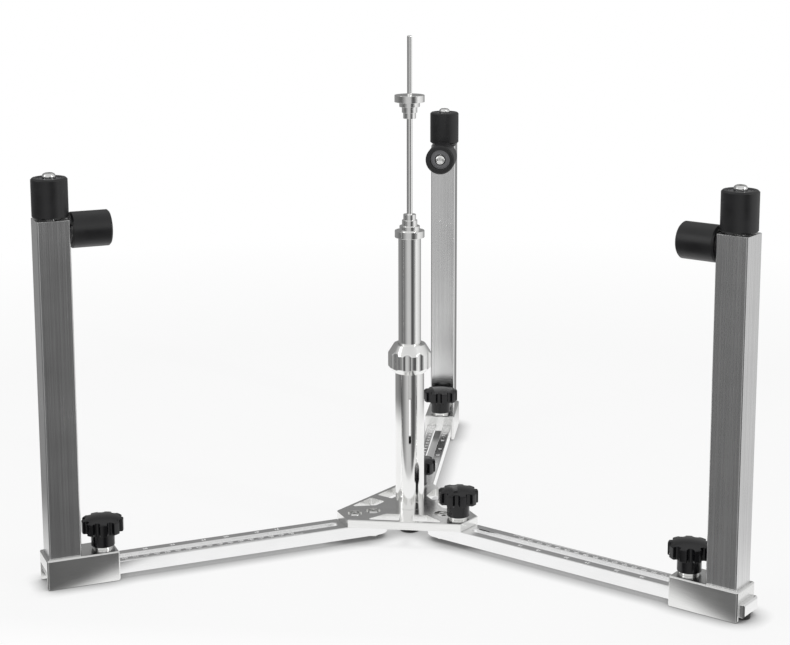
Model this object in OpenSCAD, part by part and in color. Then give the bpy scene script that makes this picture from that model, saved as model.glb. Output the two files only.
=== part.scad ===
// Wheel lacing stand: a three-armed bench stand that holds a bicycle rim flat on
// rollers while its hub stands on a height-adjustable centre column.
// Frame: +Z up, origin on the column axis at the surface that the feet stand on.
// The fixed arm points to the front left, the two folding arms front right and back.

/* [Arms] */
// Width of an arm bar
arm_w = 27; // [22:0.5:34]
// Thickness of an arm bar
arm_t = 12; // [11:0.5:18]
// Chamfer on the arm's long edges
arm_edge = 0.6; // [0.2:0.1:1]
// Width of the slot along the top of an arm
slot_w = 8; // [7:0.1:9]
// Depth of the narrow part of the slot
slot_neck = 3.5; // [3:0.1:4.5]
// Chamfer on the slot's upper edges
slot_edge = 0.8; // [0.2:0.1:1.2]
// Width of the undercut on each side of the slot
tee_side = 2.6; // [1.5:0.1:4]
// Height of the wide part of a tee nut, in the undercut that is open below
tee_h = 4; // [3:0.1:4.5]
// Distance from the plate's end to the inner end of the slot
slot_margin = 9.5; // [6:0.5:14]
// Length of slot outside the tee nut, as the stand is set
slot_over = 12; // [5:0.5:16]
// Chamfer round the outer end of an arm
end_edge = 1.5; // [0.3:0.1:2]
// Length of a folding arm that shows outside its slider, as the stand is set
arm_show = 5; // [0.5:0.5:8]
// Depth of the fixed arm's end inside its slider, as the stand is set
arm_short = 3; // [0:0.5:5]
// Height of the rubber feet
foot_h = 5; // [4.5:0.5:8]
// Diameter of the feet under the arm ends
foot_d = 14; // [10:0.5:20]
// Distance from the outer end of an arm to the edge of its foot
foot_inset = 1; // [0.5:0.5:8]
// Chamfer on the lower edge of a foot
foot_edge = 0.8; // [0.3:0.1:1.5]

/* [Centre plate] */
// Thickness of the centre plate
plate_t = 8; // [7:0.5:12]
// Distance from the folding pivot to the lock knob or the outer arm screw
lock_pitch = 19; // [18:0.5:22]
// Distance from the lock knob to the straight end of a lobe
lobe_margin = 13; // [12:0.5:16]
// Width of the straight end of a lobe
lobe_w = 29; // [26:0.5:32]
// Radius of the plate's corners
plate_corner = 2.5; // [1:0.5:4]
// Chamfer on the plate's edges
plate_edge = 0.7; // [0.2:0.1:1.2]
// Width of the rim left between a pocket and the plate's edge
pocket_rim = 4; // [3:0.5:6]
// Width of the rib between the two pockets of an edge
pocket_rib = 11; // [6:0.5:14]
// Length of a pocket beside the plate's edge
pocket_l = 31; // [24:1:34]
// Length of a pocket's inner side
pocket_flat = 14; // [8:1:18]
// Depth of a pocket from its outer side to its inner side
pocket_w = 17.5; // [10:0.5:18]
// Radius of a pocket's corners
pocket_corner = 1.8; // [1:0.1:2.2]

/* [Sliders and posts] */
// Distance from the column axis to the post's centre, as the stand is set
post_r = 340; // [300:1:400]
// Thickness of the slider's side walls
slider_wall = 2.9; // [2:0.1:4]
// Thickness of the slider's top wall
slider_top = 11; // [9:0.5:16]
// Chamfer on the slider's upper edges and ends
slider_edge = 1.2; // [0.3:0.1:1.5]
// Height of the slider's lower edge above the surface
slider_lift = 0.5; // [0.3:0.1:2]
// Distance from the knob's axis to the slider's inner end
knob_seat = 11.5; // [10:0.5:18]
// Room between a knob's head and the post
knob_room = 3.5; // [1:0.5:8]
// Width of the slider's top outside the post
post_margin = 3; // [1:0.5:6]
// Depth of a post along its arm
post_d = 29; // [26:0.5:36]
// Width of a post across its arm
post_w = 27; // [22:0.5:30]
// Height of a post
post_h = 305; // [220:0.5:380]
// Chamfer on the post's long edges
post_edge = 1; // [0.4:0.1:2]
// Distance between the two screws under a post
post_screw_pitch = 15; // [13:0.5:16]
// Diameter of the heads of the screws under a post
post_head_d = 10; // [9:0.1:11]
// Height of the heads of the screws under a post
post_head_h = 5.5; // [4:0.1:6]
// Length of the screws inside a post
post_grip = 20; // [12:1:40]
// Length of a tee nut
tee_nut_l = 16; // [12:0.5:22]

/* [Rollers] */
// Outer diameter of a roller
roller_d = 32; // [29:0.5:36]
// Length of a roller
roller_l = 35; // [26:0.5:40]
// Chamfer on a roller's ends
roller_edge = 1.4; // [0.5:0.1:2]
// Gap between a roller and its post
roller_gap = 1.5; // [1:0.1:3]
// Distance from an edge roller's lower end down to the rest roller's axis
rest_drop = 12.5; // [10:0.5:18]
// Room between an edge roller's side and the rest roller's end
roller_room = 0.5; // [0.3:0.1:2]
// Thickness of a roller's wall round its bearings
roller_wall = 5; // [3:0.1:7]
// Width of a roller bearing
bearing_w = 7; // [5:0.5:9]
// Depth of a bearing's face below the roller's end
bearing_sink = 0.5; // [0.2:0.1:1.5]
// Depth of the bearing's face in the free end of a rest roller, which hides the axle's head
rest_recess = 5.2; // [4:0.1:7]
// Diameter of a roller axle
axle_d = 8; // [7:0.1:9]
// Diameter of the axle's thread in the post
axle_thread = 6; // [5:0.1:6.5]
// Length of an upright axle's thread in the post
edge_grip = 18; // [10:0.5:30]
// Diameter of the axle's head
axle_head_d = 12; // [11:0.5:15]
// Height of the axle's head
axle_head_h = 4.5; // [3.5:0.1:6]
// Width of the washer's ring round an axle
washer_ring = 1.5; // [1:0.1:2.5]
// Room round an axle between its bearings
core_room = 2.5; // [1:0.1:4]

/* [Knobs] */
// Diameter of a star knob
knob_d = 38; // [34:0.5:42]
// Height of a star knob's head
knob_head = 14; // [10:0.5:18]
// Diameter of a star knob's stem
stem_d = 21.5; // [19:0.5:23]
// Length of a star knob's stem
stem_l = 13; // [10:0.5:20]
// Number of lobes on a star knob
knob_lobes = 9; // [7:1:10]
// Diameter of the hollows between the lobes
knob_hollow = 6.5; // [5:0.1:7.5]
// Depth of the hollows between the lobes
hollow_depth = 4; // [2:0.1:4.5]
// Rounding of a knob's edges
knob_edge = 1.2; // [0.5:0.1:2]
// Height of the dome on a knob's top
knob_dome = 2.5; // [0.5:0.1:3]
// Height of the steel collar under a knob
collar_t = 2.5; // [1.5:0.1:4]
// Diameter of the steel collar under a knob
collar_d = 18; // [14:0.5:18.5]
// Diameter of a knob's stud
stud_d = 6; // [5:0.1:6.2]
// Length of a stud inside its knob
stud_root = 18; // [12:0.5:20]

/* [Centre column] */
// Diameter of the height rod
rod_d = 21.5; // [20:0.1:24]
// Length of the height rod
rod_l = 156.5; // [140:0.5:190]
// Chamfer on the ends of the height rod and the axle rod
rod_edge = 0.8; // [0.3:0.1:1.2]
// Height of the rod's top above the surface, as the stand is set
rod_top = 291; // [270:1:310]
// Wall of the column tube
tube_wall = 3; // [2:0.1:5]
// Height of the column tube above the plate
tube_h = 157; // [130:1:180]
// Length of the tapered end of the column tube
tube_taper = 6; // [4:0.5:8]
// Wall left at the top of the taper
taper_lip = 1; // [0.5:0.1:1.5]
// Width of the clamping slit in the tube
slit_w = 2.2; // [1:0.1:3]
// Length of the clamping slit from the tube's top
slit_l = 91; // [60:1:110]
// Angle of the slit from the plane of the back arm
slit_turn = 7.5; // [0:0.5:30]
// Wall of the collet nut
nut_wall = 6.85; // [5.5:0.05:9]
// Height of the collet nut
nut_h = 28; // [24:0.5:36]
// Height of the collet nut above the tube's top
nut_over = 5.5; // [4.5:0.5:9]
// Thickness of the collet nut's roof over the tube
roof_t = 3.5; // [2.5:0.1:4]
// Height of the nut's long upper bevel
nut_bevel = 9; // [6:0.5:11]
// Height of the nut's lower bevel
nut_skirt = 6; // [3:0.5:8]
// Width of the flat ring at the nut's top
nut_crown = 4.05; // [1.5:0.05:4.5]
// Width of the flat ring at the nut's foot
nut_lip = 0.9; // [0.5:0.1:2]
// Number of hollows round the nut
nut_flutes = 10; // [8:1:12]
// Diameter of the hollows round the nut
flute_d = 16; // [13:0.5:20]
// Depth of the hollows round the nut
flute_depth = 1.5; // [0.6:0.1:2]

/* [Hub holder] */
// Diameter of the thin axle rod where the centring cone slides
axle_rod_d = 5.4; // [4.6:0.1:6.4]
// Width of the shoulder that the hub seat's top meets on the axle rod
axle_shoulder = 0.5; // [0.3:0.1:1.5]
// Height of the axle rod's top above the height rod
axle_rod_h = 190.5; // [160:0.5:230]
// Depth of the axle rod in the height rod
axle_rod_grip = 24; // [15:1:40]
// Length of the axle rod's slimmer free end
tip_l = 55; // [20:0.5:60]
// Radial step down to the axle rod's free end
tip_step = 0.4; // [0.3:0.05:0.6]
// Height of the centring cone's lower end above the height rod
cone_lift = 113; // [60:1:130]
// Diameters of the cone's steps, from the narrow end
cone_steps = [12, 14.5, 19.3, 28.2]; // [8:0.1:40]
// Heights of the cone's steps, from the narrow end
cone_heights = [5.5, 5.5, 4.5, 6.5]; // [3:0.1:10]

/* [Column foot] */
// Diameter of the foot under the column
centre_foot_d = 19; // [17:0.5:22]
// Height of the plug in the foot of the column tube
plug_h = 22; // [18:0.5:30]
// Thickness of the plug above the end of its bolt hole
plug_cap = 4; // [2:0.5:6]
// Diameter of the plug's spigot in the plate
spigot_d = 15; // [13:0.5:17]
// Diameter of the bolt that holds the column
column_bolt_d = 8; // [6:0.1:10]
// Diameter of that bolt's head
column_head_d = 13; // [12:0.5:14]
// Height of that bolt's head
column_head_h = 8; // [6:0.5:9]
// Thickness of that bolt's flange
column_flange_t = 2; // [1:0.1:3]
// Width of that bolt's flange round the spigot
column_flange_w = 4; // [2:0.5:5]

/* [Arm screws] */
// Diameter of the arm screws and the post screws
screw_d = 6; // [5:0.1:6.5]
// Diameter of an arm screw's head
screw_head_d = 10.5; // [9:0.1:11]
// Height of an arm screw's head
screw_head_h = 3.3; // [2.5:0.1:3.6]
// Depth of the seats for the arm screws' heads
screw_sink = 3; // [1.5:0.1:4]
// Length of an outer arm screw inside its arm
screw_grip = 8; // [5:0.5:9]
// Thickness of a screw head under its socket
socket_floor = 1.4; // [0.8:0.1:1.8]
// Depth of the lock hole in the top of a folding arm
lock_depth = 9; // [5:0.5:10]
// Width of a nut across its flats
nut_flats = 10; // [9:0.5:11]
// Height of a nut
nut_t = 4; // [3:0.1:4.2]

/* [Clearances] */
// Gap round a shaft or a stud that turns or slides
run_gap = 0.05; // [0.02:0.01:0.1]
// Gap beside a slider and a tee nut
slide_gap = 0.1; // [0.05:0.01:0.2]
// Gap between round faces that don't bear
free_gap = 0.3; // [0.2:0.05:0.5]
// Gap between two sliders side by side when the stand is folded
fold_gap = 0.35; // [0.2:0.05:2]
// Gap between a roller's bearing and what holds it endwise
end_gap = 0.1; // [0.05:0.01:0.3]
// Room round a sunk screw head
head_room = 4; // [0.5:0.1:5]
// Depth of a blind hole beyond the end of its screw
drill_room = 1; // [0.5:0.1:2]

/* [Hidden] */
$fn = 64;
left_angle = 210;
right_angle = 330;
back_angle = 90;
slider_w = arm_w + 2 * (slide_gap + slider_wall);
pivot_r = (slider_w + fold_gap) / sin(60);
lock_r = pivot_r + lock_pitch;
plate_reach = lock_r + lobe_margin;
slot_start = plate_reach + slot_margin;
tee_w = slot_w + 2 * tee_side;
knob_offset = post_d / 2 + knob_room + knob_d / 2;
knob_r = post_r - knob_offset;
slider_in = knob_offset + knob_seat;
slider_out = post_d / 2 + post_margin;
fixed_reach = post_r + slider_out - arm_short;
fold_reach = post_r + slider_out + arm_show;
slot_end = knob_r + tee_nut_l / 2 + slot_over;
arm_z = foot_h;
plate_z = arm_z + arm_t;
plate_top = plate_z + plate_t;
slider_z = plate_z + slider_top;
post_top = slider_z + post_h;
slot_floor = plate_z - slot_neck - tee_h;
edge_z = post_top + roller_gap;
rest_z = edge_z - rest_drop;
rest_gap = max(roller_gap, (roller_d - post_d) / 2 + roller_room);
rest_grip = post_d / 2 - axle_thread / 2 - drill_room - run_gap - free_gap;
post_seat = plate_z + slide_gap + post_head_h;
bearing_d = roller_d - 2 * roller_wall;
tube_bore = rod_d / 2 + run_gap;
tube_d = 2 * (tube_bore + tube_wall);
taper_r = tube_bore + taper_lip;
tube_top = plate_top + tube_h;
nut_bore = tube_d / 2 + run_gap;
nut_d = 2 * (nut_bore + nut_wall);
nut_top = tube_top + nut_over;
nut_base = nut_top - nut_h;
plug_hole = plate_top + plug_h - plug_cap;
flange_z = plate_z - column_flange_t;
bolt_head_z = flange_z - column_head_h;
stud_reach = slider_z - slot_floor - drill_room;
cone_h = total(cone_heights, len(cone_heights));
axle_root = axle_rod_d / 2 + axle_shoulder;
overlap = 1;

function total(list, count) = count == 0 ? 0 : list[count - 1] + total(list, count - 1);
function along(az, r, side = 0) = [
    r * cos(az) - side * sin(az), r * sin(az) + side * cos(az)
];

// Width across the corners of the hexagonal socket that suits a thread
function socket_of(thread) = 0.76 * thread;

// Points of a convex outline with each corner turned into an arc of radius r
function rounded(points, r, steps = 5) = [
    for (i = [0 : len(points) - 1])
        let (p = points[i],
             a = points[(i + len(points) - 1) % len(points)] - p,
             b = points[(i + 1) % len(points)] - p,
             ua = a / norm(a),
             ub = b / norm(b),
             half = acos(ua * ub) / 2,
             c = p + (ua + ub) / norm(ua + ub) * r / sin(half),
             s = p + ua * r / tan(half) - c,
             e = p + ub * r / tan(half) - c,
             a0 = atan2(s[1], s[0]),
             turn = (atan2(e[1], e[0]) - a0 + 540) % 360 - 180)
        for (k = [0 : steps])
            c + r * [cos(a0 + turn * k / steps), sin(a0 + turn * k / steps)]
];

// Half outline of a disc whose two edges are chamfered
function disc_profile(r, z0, z1, edge) = [
    [0, z0], [r - edge, z0], [r, z0 + edge], [r, z1 - edge], [r - edge, z1], [0, z1]
];

// Turns a piece drawn along +X to the direction of one arm
module toward(az) {
    rotate([0, 0, az]) children();
}

// A plain rod given by its radius and the heights of its ends
module rod(r, z0, z1) {
    translate([0, 0, z0]) cylinder(r = r, h = z1 - z0);
}

// A turned screw: the shank's half outline, then a button head with a hexagonal socket
module button_screw(shank, head_z, head_d, head_h, socket) {
    difference() {
        rotate_extrude() polygon(concat(shank, [
            [head_d / 2, head_z], [head_d / 2, head_z + head_h * 0.35],
            [head_d * 0.42, head_z + head_h * 0.72], [head_d * 0.3, head_z + head_h],
            [0, head_z + head_h]
        ]));
        translate([0, 0, head_z + socket_floor]) cylinder(d = socket, h = head_h, $fn = 6);
    }
}

// Chamfers round the end, at x, of a bar that lies along +X
module end_bevels(x, w, z0, z1, edge) {
    side = edge * sqrt(2);
    for (z = [z0, z1])
        translate([x, 0, z]) rotate([0, 45, 0]) cube([side, w + 2 * overlap, side], center = true);
    for (y = [-w / 2, w / 2])
        translate([x, y, (z0 + z1) / 2]) rotate([0, 0, 45])
            cube([side, side, z1 - z0 + 2 * overlap], center = true);
}

// Half outline of an arm's slot, which widens at the top by its chamfer
slot_profile = [
    [0, slot_floor], [slot_w / 2, slot_floor], [slot_w / 2, plate_z - slot_edge],
    [slot_w / 2 + slot_edge + overlap, plate_z + overlap], [0, plate_z + overlap]
];

// Arms
module arm_blank(reach, lock_d, lock_depth) {
    w = arm_w / 2;
    e = arm_edge;
    slot_l = slot_end - slot_start;
    difference() {
        union() {
            translate([pivot_r, 0, 0]) rotate([90, 0, 90]) linear_extrude(reach - pivot_r) polygon([
                [-w, arm_z + e], [e - w, arm_z], [w - e, arm_z], [w, arm_z + e],
                [w, plate_z - e], [w - e, plate_z], [e - w, plate_z], [-w, plate_z - e]
            ]);
            translate([pivot_r, 0, 0]) rotate_extrude() polygon(disc_profile(w, arm_z, plate_z, e));
        }
        end_bevels(reach, arm_w, arm_z, plate_z, end_edge);
        translate([slot_start, 0, 0]) rotate([90, 0, 90]) linear_extrude(slot_l) {
            polygon(slot_profile);
            mirror([1, 0]) polygon(slot_profile);
        }
        for (x = [slot_start, slot_end])
            translate([x, 0, 0]) rotate_extrude() polygon(slot_profile);
        translate([slot_start - slot_w / 2, -tee_w / 2, arm_z - overlap])
            cube([slot_l + slot_w, tee_w, slot_floor + tee_h - arm_z + overlap]);
        translate([pivot_r, 0, 0]) rod(screw_d / 2 + run_gap, arm_z - overlap, plate_z + overlap);
        translate([lock_r, 0, 0]) rod(lock_d / 2 + run_gap, plate_z - lock_depth, plate_z + overlap);
    }
}
module left_arm() {
    color("silver") toward(left_angle) arm_blank(fixed_reach, screw_d, screw_grip + drill_room);
}
module right_arm() {
    color("silver") toward(right_angle) arm_blank(fold_reach, stud_d, lock_depth);
}
module back_arm() {
    color("silver") toward(back_angle) arm_blank(fold_reach, stud_d, lock_depth);
}

module arm_foot(reach) {
    r = foot_d / 2;
    translate([reach - foot_inset - r, 0, 0]) rotate_extrude() polygon([
        [0, 0], [r - foot_edge, 0], [r, foot_edge], [r, foot_h], [0, foot_h]
    ]);
}
module left_foot() {
    color([0.1, 0.1, 0.1]) toward(left_angle) arm_foot(fixed_reach);
}
module right_foot() {
    color([0.1, 0.1, 0.1]) toward(right_angle) arm_foot(fold_reach);
}
module back_foot() {
    color([0.1, 0.1, 0.1]) toward(back_angle) arm_foot(fold_reach);
}

// Centre plate
plate_outline = [
    for (az = [back_angle, left_angle, right_angle], side = [-1, 1])
        along(az, plate_reach, side * lobe_w / 2)
];
plate_side = plate_reach / 2 + lobe_w / 2 * cos(30);

// Chamfers along the plate's edges at one height
module plate_bevels(z) {
    side = plate_edge * sqrt(2);
    for (i = [0 : len(plate_outline) - 1])
        let (p = plate_outline[i],
             q = plate_outline[(i + 1) % len(plate_outline)],
             d = q - p)
            translate(concat((p + q) / 2, z)) rotate([0, 0, atan2(d[1], d[0])]) rotate([45, 0, 0])
                cube([norm(d) + 2 * overlap, side, side], center = true);
}
// One of the two pockets beside the plate's front edge, square at the rib and slanting at the lobe
module pocket() {
    x0 = pocket_rib / 2;
    y0 = pocket_rim - plate_side;
    linear_extrude(plate_t + 2 * overlap) polygon(rounded([
        [x0, y0], [x0 + pocket_l, y0], [x0 + pocket_flat, y0 + pocket_w], [x0, y0 + pocket_w]
    ], pocket_corner));
}
module screw_seat(az, r) {
    translate(concat(along(az, r), 0)) {
        rod(screw_d / 2 + run_gap, plate_z - overlap, plate_top + overlap);
        rod((screw_head_d + head_room) / 2, plate_top - screw_sink, plate_top + overlap);
    }
}
module centre_plate() {
    color("silver") difference() {
        translate([0, 0, plate_z]) linear_extrude(plate_t) polygon(rounded(plate_outline, plate_corner));
        plate_bevels(plate_z);
        plate_bevels(plate_top);
        for (turn = [0, 120, 240], flip = [0, 1])
            translate([0, 0, plate_z - overlap]) rotate([0, 0, turn]) mirror([flip, 0, 0]) pocket();
        for (az = [left_angle, right_angle, back_angle]) screw_seat(az, pivot_r);
        screw_seat(left_angle, lock_r);
        for (az = [right_angle, back_angle])
            translate(concat(along(az, lock_r), 0))
                rod(stud_d / 2 + run_gap, plate_z - overlap, plate_top + overlap);
        rod(spigot_d / 2 + run_gap, plate_z - overlap, plate_top + overlap);
    }
}

module arm_screw(az, r, tip) {
    head_z = plate_top - screw_sink;
    translate(concat(along(az, r), 0))
        button_screw([[0, tip], [screw_d / 2, tip], [screw_d / 2, head_z]],
                     head_z, screw_head_d, screw_head_h, socket_of(screw_d));
}
module arm_screws() {
    color("lightgray") {
        for (az = [left_angle, right_angle, back_angle]) arm_screw(az, pivot_r, arm_z - nut_t);
        arm_screw(left_angle, lock_r, plate_z - screw_grip);
    }
}
module arm_nuts() {
    color("lightgray") for (az = [left_angle, right_angle, back_angle])
        translate(concat(along(az, pivot_r), 0)) difference() {
            translate([0, 0, arm_z - nut_t]) cylinder(d = nut_flats / cos(30), h = nut_t, $fn = 6);
            rod(screw_d / 2 + run_gap, arm_z - nut_t - overlap, arm_z + overlap);
        }
}

// Sliders, posts and what is fixed to them
module at_post_screws() {
    for (x = [-0.5, 0.5] * post_screw_pitch)
        translate([post_r + x, 0, 0]) children();
}
module slider_block() {
    w = slider_w / 2;
    inner = arm_w / 2 + slide_gap;
    e = slider_edge;
    difference() {
        translate([post_r - slider_in, 0, 0]) rotate([90, 0, 90])
            linear_extrude(slider_in + slider_out) polygon([
                [-w, slider_lift], [-w, slider_z - e], [e - w, slider_z], [w - e, slider_z],
                [w, slider_z - e], [w, slider_lift], [inner, slider_lift], [inner, plate_z],
                [-inner, plate_z], [-inner, slider_lift]
            ]);
        for (x = [post_r - slider_in, post_r + slider_out])
            end_bevels(x, slider_w, slider_lift, slider_z, slider_edge);
        translate([knob_r, 0, 0]) rod(stud_d / 2 + run_gap, plate_z - overlap, slider_z + overlap);
        at_post_screws() {
            rod(screw_d / 2 + run_gap, plate_z - overlap, slider_z + overlap);
            rod(post_head_d / 2 + free_gap, plate_z - overlap, post_seat);
        }
    }
}
module tee_nut() {
    h = tee_h + slot_neck - 2 * slide_gap;
    translate([knob_r - tee_nut_l / 2, 0, slot_floor + slide_gap]) difference() {
        rotate([90, 0, 90]) linear_extrude(tee_nut_l) polygon([
            [-tee_w / 2 + slide_gap, 0], [tee_w / 2 - slide_gap, 0],
            [tee_w / 2 - slide_gap, tee_h - 2 * slide_gap], [slot_w / 2 - slide_gap, tee_h - 2 * slide_gap],
            [slot_w / 2 - slide_gap, h], [-slot_w / 2 + slide_gap, h],
            [-slot_w / 2 + slide_gap, tee_h - 2 * slide_gap], [-tee_w / 2 + slide_gap, tee_h - 2 * slide_gap]
        ]);
        translate([tee_nut_l / 2, 0, 0]) rod(stud_d / 2 + run_gap, -overlap, h + overlap);
    }
}
module post_bar() {
    a = post_d / 2;
    b = post_w / 2;
    e = post_edge;
    difference() {
        translate([post_r, 0, slider_z]) linear_extrude(post_h) polygon([
            [a - e, b], [e - a, b], [-a, b - e], [-a, e - b],
            [e - a, -b], [a - e, -b], [a, e - b], [a, b - e]
        ]);
        at_post_screws()
            rod(screw_d / 2 + run_gap, slider_z - overlap, slider_z + post_grip + drill_room);
        translate([post_r, 0, post_top])
            rod(axle_thread / 2 + run_gap, -edge_grip - drill_room, overlap);
        translate([post_r - a, 0, rest_z]) rotate([0, 90, 0])
            rod(axle_thread / 2 + run_gap, -overlap, rest_grip + drill_room);
    }
}
module post_screw_pair() {
    at_post_screws() difference() {
        union() {
            rod(screw_d / 2, post_seat - post_head_h, slider_z + post_grip);
            rod(post_head_d / 2, post_seat - post_head_h, post_seat);
        }
        translate([0, 0, post_seat - post_head_h - overlap])
            cylinder(d = socket_of(screw_d), h = post_head_h - socket_floor + overlap, $fn = 6);
    }
}

// Places a roller, or what belongs to one, with its inner end at z = 0 and its axis along +Z
module at_edge_roller() {
    translate([post_r, 0, edge_z]) children();
}
module at_rest_roller() {
    translate([post_r - post_d / 2 - rest_gap, 0, rest_z]) rotate([0, -90, 0]) children();
}
module roller_sleeve(recess) {
    difference() {
        rotate_extrude() polygon(disc_profile(roller_d / 2, 0, roller_l, roller_edge));
        rod(axle_d / 2 + core_room, -overlap, roller_l + overlap);
        rod(bearing_d / 2, -overlap, bearing_sink + bearing_w);
        rod(bearing_d / 2, roller_l - recess - bearing_w, roller_l + overlap);
    }
}
module bearing_pair(recess) {
    for (z = [bearing_sink, roller_l - recess - bearing_w])
        difference() {
            rod(bearing_d / 2, z, z + bearing_w);
            rod(axle_d / 2 + run_gap, z - overlap, z + bearing_w + overlap);
        }
}
module axle_screw(recess, gap, grip) {
    head_z = roller_l - recess + end_gap;
    tip = -gap - grip;
    button_screw([
        [0, tip], [axle_thread / 2, tip], [axle_thread / 2, -gap], [axle_d / 2, -gap], [axle_d / 2, head_z]
    ], head_z, axle_head_d, axle_head_h, socket_of(axle_d));
}
module roller_washer(gap) {
    difference() {
        rod(axle_d / 2 + washer_ring, -gap, bearing_sink - end_gap);
        rod(axle_d / 2 + run_gap, -gap - overlap, bearing_sink + overlap);
    }
}
module axle_pair() {
    at_edge_roller() axle_screw(bearing_sink, roller_gap, edge_grip);
    at_rest_roller() axle_screw(rest_recess, rest_gap, rest_grip);
}
module washer_pair() {
    at_edge_roller() roller_washer(roller_gap);
    at_rest_roller() roller_washer(rest_gap);
}
module edge_sleeve() {
    at_edge_roller() roller_sleeve(bearing_sink);
}
module rest_sleeve() {
    at_rest_roller() roller_sleeve(rest_recess);
}
module edge_bearings() {
    at_edge_roller() bearing_pair(bearing_sink);
}
module rest_bearings() {
    at_rest_roller() bearing_pair(rest_recess);
}

module left_slider() { color("silver") toward(left_angle) slider_block(); }
module left_tee_nut() { color("dimgray") toward(left_angle) tee_nut(); }
module left_post() { color("darkgray") toward(left_angle) post_bar(); }
module left_post_screws() { color("dimgray") toward(left_angle) post_screw_pair(); }
module left_axles() { color("lightgray") toward(left_angle) axle_pair(); }
module left_washers() { color("lightgray") toward(left_angle) washer_pair(); }
module left_edge_roller() { color([0.1, 0.1, 0.1]) toward(left_angle) edge_sleeve(); }
module left_edge_bearings() { color("gray") toward(left_angle) edge_bearings(); }
module left_rest_roller() { color([0.1, 0.1, 0.1]) toward(left_angle) rest_sleeve(); }
module left_rest_bearings() { color("gray") toward(left_angle) rest_bearings(); }

module right_slider() { color("silver") toward(right_angle) slider_block(); }
module right_tee_nut() { color("dimgray") toward(right_angle) tee_nut(); }
module right_post() { color("darkgray") toward(right_angle) post_bar(); }
module right_post_screws() { color("dimgray") toward(right_angle) post_screw_pair(); }
module right_axles() { color("lightgray") toward(right_angle) axle_pair(); }
module right_washers() { color("lightgray") toward(right_angle) washer_pair(); }
module right_edge_roller() { color([0.1, 0.1, 0.1]) toward(right_angle) edge_sleeve(); }
module right_edge_bearings() { color("gray") toward(right_angle) edge_bearings(); }
module right_rest_roller() { color([0.1, 0.1, 0.1]) toward(right_angle) rest_sleeve(); }
module right_rest_bearings() { color("gray") toward(right_angle) rest_bearings(); }

module back_slider() { color("silver") toward(back_angle) slider_block(); }
module back_tee_nut() { color("dimgray") toward(back_angle) tee_nut(); }
module back_post() { color("darkgray") toward(back_angle) post_bar(); }
module back_post_screws() { color("dimgray") toward(back_angle) post_screw_pair(); }
module back_axles() { color("lightgray") toward(back_angle) axle_pair(); }
module back_washers() { color("lightgray") toward(back_angle) washer_pair(); }
module back_edge_roller() { color([0.1, 0.1, 0.1]) toward(back_angle) edge_sleeve(); }
module back_edge_bearings() { color("gray") toward(back_angle) edge_bearings(); }
module back_rest_roller() { color([0.1, 0.1, 0.1]) toward(back_angle) rest_sleeve(); }
module back_rest_bearings() { color("gray") toward(back_angle) rest_bearings(); }

// Star knobs, drawn with the face that they clamp against at z = 0
module star_knob() {
    r = knob_d / 2;
    e = knob_edge;
    z0 = collar_t;
    z1 = z0 + stem_l;
    z2 = z1 + knob_head;
    dome = [
        for (k = [0 : 5]) let (x = (r - e) * (1 - k / 5)) [x, z2 - knob_dome * pow(x / (r - e), 2)]
    ];
    difference() {
        rotate_extrude() polygon(concat([
            [0, z0], [stem_d / 2 - e, z0], [stem_d / 2, z0 + e], [stem_d / 2, z1],
            [r - e, z1], [r, z1 + e], [r, z2 - knob_dome - e]
        ], dome));
        for (k = [0 : knob_lobes - 1])
            rotate([0, 0, (k + 0.5) * 360 / knob_lobes])
                translate([r - hollow_depth + knob_hollow / 2, 0, 0])
                    rod(knob_hollow / 2, z1 - overlap, z2 + overlap);
        rod(stud_d / 2, z0 - overlap, stud_root);
    }
}
module knob_stud(reach) {
    union() {
        rod(collar_d / 2, 0, collar_t);
        rod(stud_d / 2, -reach, stud_root);
    }
}
module at_slider_knob() {
    translate([knob_r, 0, slider_z]) children();
}
module at_lock_knob() {
    translate([lock_r, 0, plate_top]) children();
}

module left_slider_knob() { color([0.06, 0.06, 0.06]) toward(left_angle) at_slider_knob() star_knob(); }
module left_slider_stud() { color("lightgray") toward(left_angle) at_slider_knob() knob_stud(stud_reach); }
module right_slider_knob() { color([0.06, 0.06, 0.06]) toward(right_angle) at_slider_knob() star_knob(); }
module right_slider_stud() { color("lightgray") toward(right_angle) at_slider_knob() knob_stud(stud_reach); }
module back_slider_knob() { color([0.06, 0.06, 0.06]) toward(back_angle) at_slider_knob() star_knob(); }
module back_slider_stud() { color("lightgray") toward(back_angle) at_slider_knob() knob_stud(stud_reach); }
module right_lock_knob() { color([0.06, 0.06, 0.06]) toward(right_angle) at_lock_knob() star_knob(); }
module right_lock_stud() { color("lightgray") toward(right_angle) at_lock_knob() knob_stud(plate_t); }
module back_lock_knob() { color([0.06, 0.06, 0.06]) toward(back_angle) at_lock_knob() star_knob(); }
module back_lock_stud() { color("lightgray") toward(back_angle) at_lock_knob() knob_stud(plate_t); }

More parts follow.
